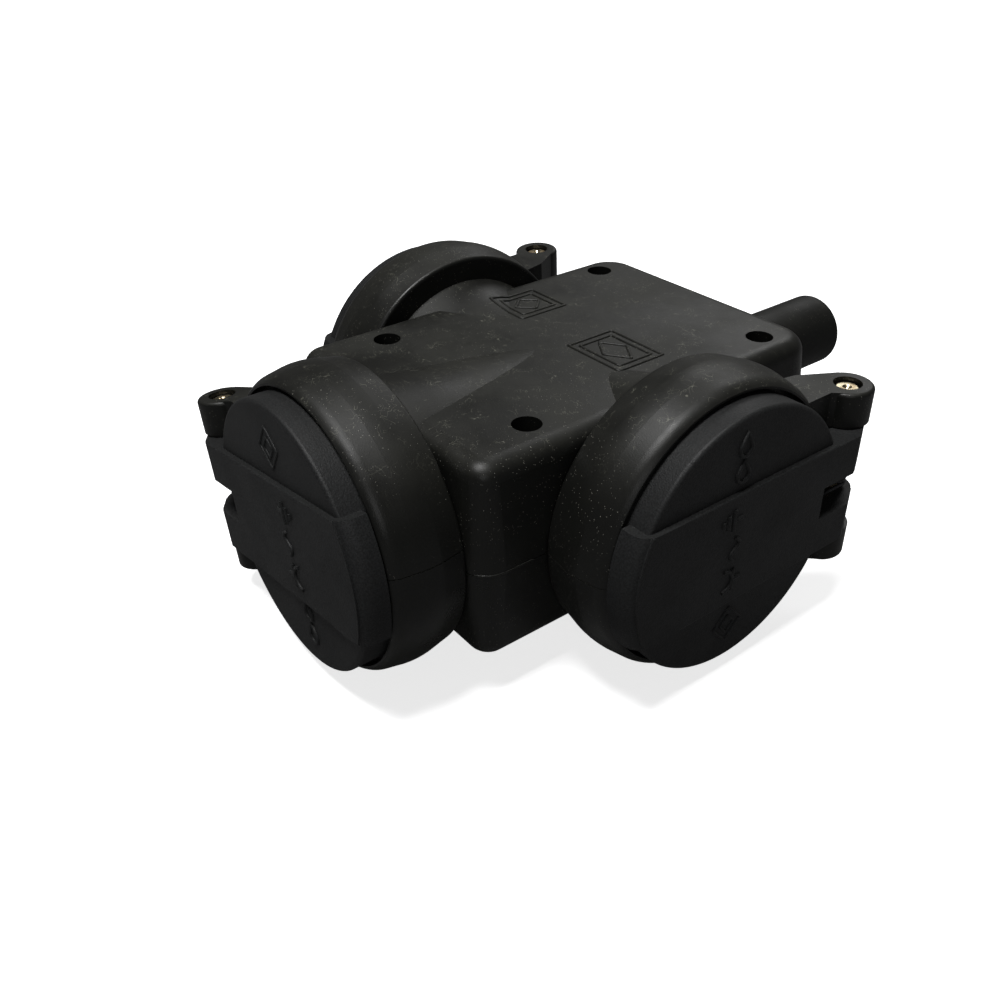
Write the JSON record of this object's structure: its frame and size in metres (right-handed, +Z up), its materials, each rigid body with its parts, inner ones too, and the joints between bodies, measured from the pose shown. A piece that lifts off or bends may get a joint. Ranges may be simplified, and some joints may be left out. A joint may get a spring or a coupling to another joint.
{
  "type": "portable power distribution box",
  "caption": "Black rubber power distribution box with round earthed sockets under sprung flap lids and a cable sleeve at one end.",
  "frame": {"origin": "centre of the bounding box, at the level the collars rest on", "axes": "+Z up through the flat top, +Y towards the cable sleeve, +X towards the right-hand socket"},
  "size_m": [0.1046, 0.1474, 0.059],
  "materials": {
    "shell_rubber": "matte",
    "lid_rubber": "matte",
    "sleeve_rubber": "satin",
    "seal_rubber": "matte",
    "insert_plastic": "matte",
    "clamp_plastic": "matte",
    "contact_brass": "satin",
    "pin_brass": "satin",
    "screw_steel": "satin",
    "spring_steel": "satin"
  },
  "bodies": {
    "housing": {"upper_shell": "shell_rubber", "lower_shell": "shell_rubber", "housing_screws": "screw_steel", "cable_sleeve": "sleeve_rubber", "cord_clamp": "clamp_plastic", "cord_clamp_screws": "screw_steel", "live_busbar": "contact_brass", "neutral_busbar": "contact_brass", "earth_busbar": "contact_brass", "terminal_blocks": "contact_brass", "terminal_screws": "screw_steel", "front_socket_collar": "shell_rubber", "front_socket_insert": "insert_plastic", "front_earth_clips": "contact_brass", "front_line_contact": "contact_brass", "front_neutral_contact": "contact_brass", "front_hinge_pin": "pin_brass", "front_lid_spring": "spring_steel", "left_socket_collar": "shell_rubber", "left_socket_insert": "insert_plastic", "left_earth_clips": "contact_brass", "left_line_contact": "contact_brass", "left_neutral_contact": "contact_brass", "left_hinge_pin": "pin_brass", "left_lid_spring": "spring_steel", "right_socket_collar": "shell_rubber", "right_socket_insert": "insert_plastic", "right_earth_clips": "contact_brass", "right_line_contact": "contact_brass", "right_neutral_contact": "contact_brass", "right_hinge_pin": "pin_brass", "right_lid_spring": "spring_steel"},
    "front_cover": {"front_lid": "lid_rubber", "front_lid_seal": "seal_rubber"},
    "left_cover": {"left_lid": "lid_rubber", "left_lid_seal": "seal_rubber"},
    "right_cover": {"right_lid": "lid_rubber", "right_lid_seal": "seal_rubber"}
  },
  "joints": [
    {"name": "front_lid_hinge", "type": "hinge", "parent": "housing", "child": "front_cover", "pos_m": [-0.03212, -0.067, 0.02395], "axis": [0.1702, 0, -0.9854], "range_deg": [0, 120], "stiffness_Nm_per_rad": 0.02, "springref_deg": -28.65, "deforming": ["front_lid_spring"]},
    {"name": "left_lid_hinge", "type": "hinge", "parent": "housing", "child": "left_cover", "pos_m": [-0.0456, 0.02228, 0.03064], "axis": [0, 0.0349, -0.9994], "range_deg": [0, 120], "stiffness_Nm_per_rad": 0.02, "springref_deg": -28.65, "deforming": ["left_lid_spring"]},
    {"name": "right_lid_hinge", "type": "hinge", "parent": "housing", "child": "right_cover", "pos_m": [0.0456, 0.0223, 0.0295], "axis": [0, 0, 1], "range_deg": [0, 120], "stiffness_Nm_per_rad": 0.02, "springref_deg": -28.65, "deforming": ["right_lid_spring"]}
  ]
}
